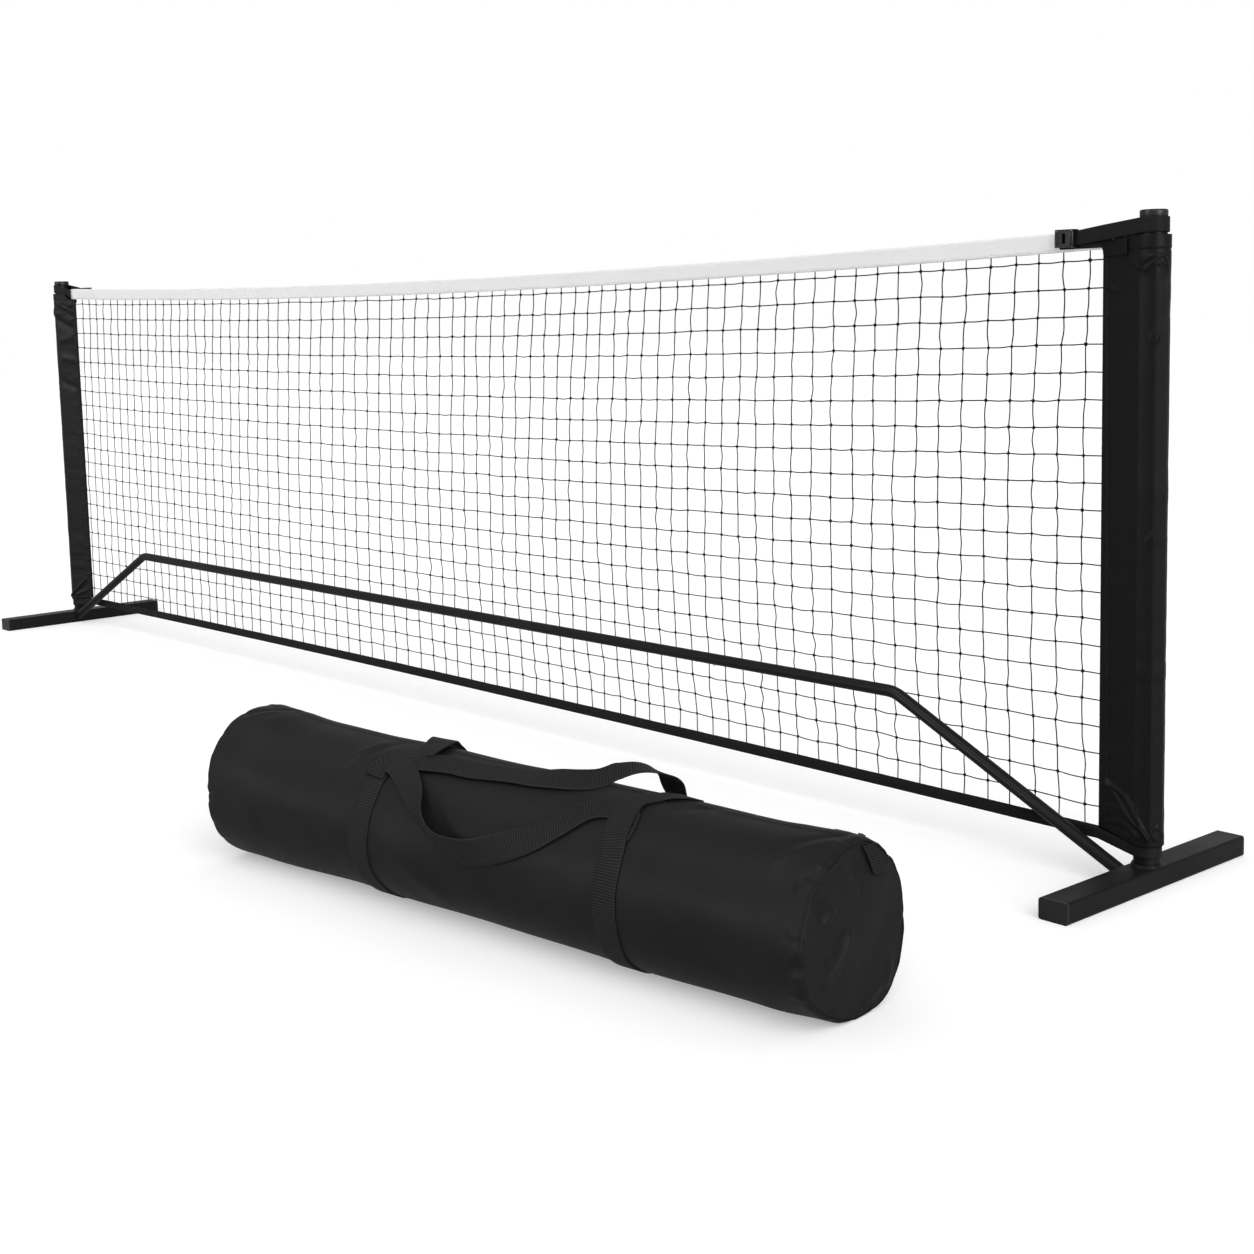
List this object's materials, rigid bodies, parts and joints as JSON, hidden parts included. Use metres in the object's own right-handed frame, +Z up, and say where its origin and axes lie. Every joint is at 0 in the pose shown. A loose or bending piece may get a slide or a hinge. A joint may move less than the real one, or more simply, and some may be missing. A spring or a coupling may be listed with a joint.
{
  "type": "portable court net",
  "caption": "Free-standing court net on two steel feet with plug-on posts, bent crossbar, white headband, fabric post sleeves, cam-buckle straps and a zipped carry bag.",
  "frame": {"origin": "centre of the whole set's footprint, on the floor", "axes": "+X along the net, +Y from the bag's side through the net to the back, +Z up"},
  "size_m": [3.4324, 1.083, 0.925],
  "materials": {
    "powder_black": "satin powder coat",
    "cap_plastic": "fine matt",
    "steel": "bright",
    "net_twine": "twisted twine",
    "white_tape": "coated weave",
    "band_fabric": "coated weave",
    "sleeve_fabric": "coated weave",
    "webbing": "ribbed webbing",
    "buckle_plastic": "fine matt",
    "bag_fabric": "plain weave",
    "bag_webbing": "ribbed webbing",
    "zip_plastic": "satin",
    "zip_metal": "satin"
  },
  "bodies": {
    "net_frame": {"right_foot": "powder_black", "right_foot_caps": "cap_plastic", "right_post_stub": "powder_black", "right_brace_stub": "powder_black", "right_sleeve": "sleeve_fabric", "right_top_strap": "webbing", "right_low_strap": "webbing", "right_buckle_frame": "buckle_plastic", "right_buckle_pin": "steel", "right_end_patch": "sleeve_fabric", "left_foot": "powder_black", "left_foot_caps": "cap_plastic", "left_post_stub": "powder_black", "left_brace_stub": "powder_black", "left_sleeve": "sleeve_fabric", "left_top_strap": "webbing", "left_low_strap": "webbing", "left_buckle_frame": "buckle_plastic", "left_buckle_pin": "steel", "left_end_patch": "sleeve_fabric", "crossbar_right_end": "powder_black", "crossbar_right_middle": "powder_black", "crossbar_left_middle": "powder_black", "crossbar_left_end": "powder_black", "crossbar_clip_right": "steel", "crossbar_clip_centre": "steel", "crossbar_clip_left": "steel", "netting": "net_twine", "headband": "white_tape", "headband_webbing": "white_tape", "bottom_band": "band_fabric"},
    "right_post": {"right_lower_post": "powder_black", "right_upper_post": "powder_black", "right_post_cap": "cap_plastic", "right_post_clip": "steel"},
    "right_post_button": {"right_post_button": "steel"},
    "right_buckle_cam": {"right_buckle_cam": "buckle_plastic"},
    "left_post": {"left_lower_post": "powder_black", "left_upper_post": "powder_black", "left_post_cap": "cap_plastic", "left_post_clip": "steel"},
    "left_post_button": {"left_post_button": "steel"},
    "left_buckle_cam": {"left_buckle_cam": "buckle_plastic"},
    "crossbar_button_right": {"crossbar_button_right": "steel"},
    "crossbar_button_centre": {"crossbar_button_centre": "steel"},
    "crossbar_button_left": {"crossbar_button_left": "steel"},
    "bag": {"bag_shell": "bag_fabric", "bag_ends": "bag_fabric", "bag_left_band": "bag_webbing", "bag_right_band": "bag_webbing", "bag_front_handle": "bag_webbing", "bag_rear_handle": "bag_webbing", "bag_end_tab": "bag_webbing", "zip_tapes": "bag_webbing", "zip_chain": "zip_plastic"},
    "zip_slider": {"zip_slider": "zip_metal"},
    "zip_puller": {"zip_puller": "zip_metal"}
  },
  "joints": [
    {"name": "right_post_lift", "type": "slide", "parent": "net_frame", "child": "right_post", "axis": [0, 0, 1], "range_m": [0, 0.06]},
    {"name": "right_post_button_press", "type": "slide", "parent": "right_post", "child": "right_post_button", "axis": [-0.5736, 0.8192, 0], "range_m": [0, 0.003], "stiffness_N_per_m": 500, "springref_m": -0.0005, "deforming": ["right_post_clip"]},
    {"name": "right_cam_open", "type": "hinge", "parent": "net_frame", "child": "right_buckle_cam", "pos_m": [1.54605, 0.31152, 0.8925], "axis": [0, 0, 1], "range_deg": [0, 50], "stiffness_Nm_per_rad": 0.05, "springref_deg": -2.86},
    {"name": "left_post_lift", "type": "slide", "parent": "net_frame", "child": "left_post", "axis": [0, 0, 1], "range_m": [0, 0.06]},
    {"name": "left_post_button_press", "type": "slide", "parent": "left_post", "child": "left_post_button", "axis": [0.5736, 0.8192, 0], "range_m": [0, 0.003], "stiffness_N_per_m": 500, "springref_m": -0.0005, "deforming": ["left_post_clip"]},
    {"name": "left_cam_open", "type": "hinge", "parent": "net_frame", "child": "left_buckle_cam", "pos_m": [-1.57195, 0.33752, 0.8925], "axis": [0, 0, 1], "range_deg": [0, 50], "stiffness_Nm_per_rad": 0.05, "springref_deg": -2.86},
    {"name": "crossbar_button_right_press", "type": "slide", "parent": "net_frame", "child": "crossbar_button_right", "axis": [0, 0, 1], "range_m": [0, 0.003], "stiffness_N_per_m": 500, "springref_m": -0.0005, "deforming": ["crossbar_clip_right"]},
    {"name": "crossbar_button_centre_press", "type": "slide", "parent": "net_frame", "child": "crossbar_button_centre", "axis": [0, 0, 1], "range_m": [0, 0.003], "stiffness_N_per_m": 500, "springref_m": -0.0005, "deforming": ["crossbar_clip_centre"]},
    {"name": "crossbar_button_left_press", "type": "slide", "parent": "net_frame", "child": "crossbar_button_left", "axis": [0, 0, 1], "range_m": [0, 0.003], "stiffness_N_per_m": 500, "springref_m": -0.0005, "deforming": ["crossbar_clip_left"]},
    {"name": "bag_lift", "type": "slide", "parent": "net_frame", "child": "bag", "axis": [0, 0, 1], "range_m": [0, 0.25]},
    {"name": "zip_slider_run", "type": "slide", "parent": "bag", "child": "zip_slider", "axis": [-0.9949, -0.1011, 0], "range_m": [0, 1.03]},
    {"name": "zip_puller_swing", "type": "hinge", "parent": "zip_slider", "child": "zip_puller", "pos_m": [1.66657, -0.26582, 0.19593], "axis": [-0.0838, 0.8248, -0.5592], "range_deg": [0, 150]}
  ]
}
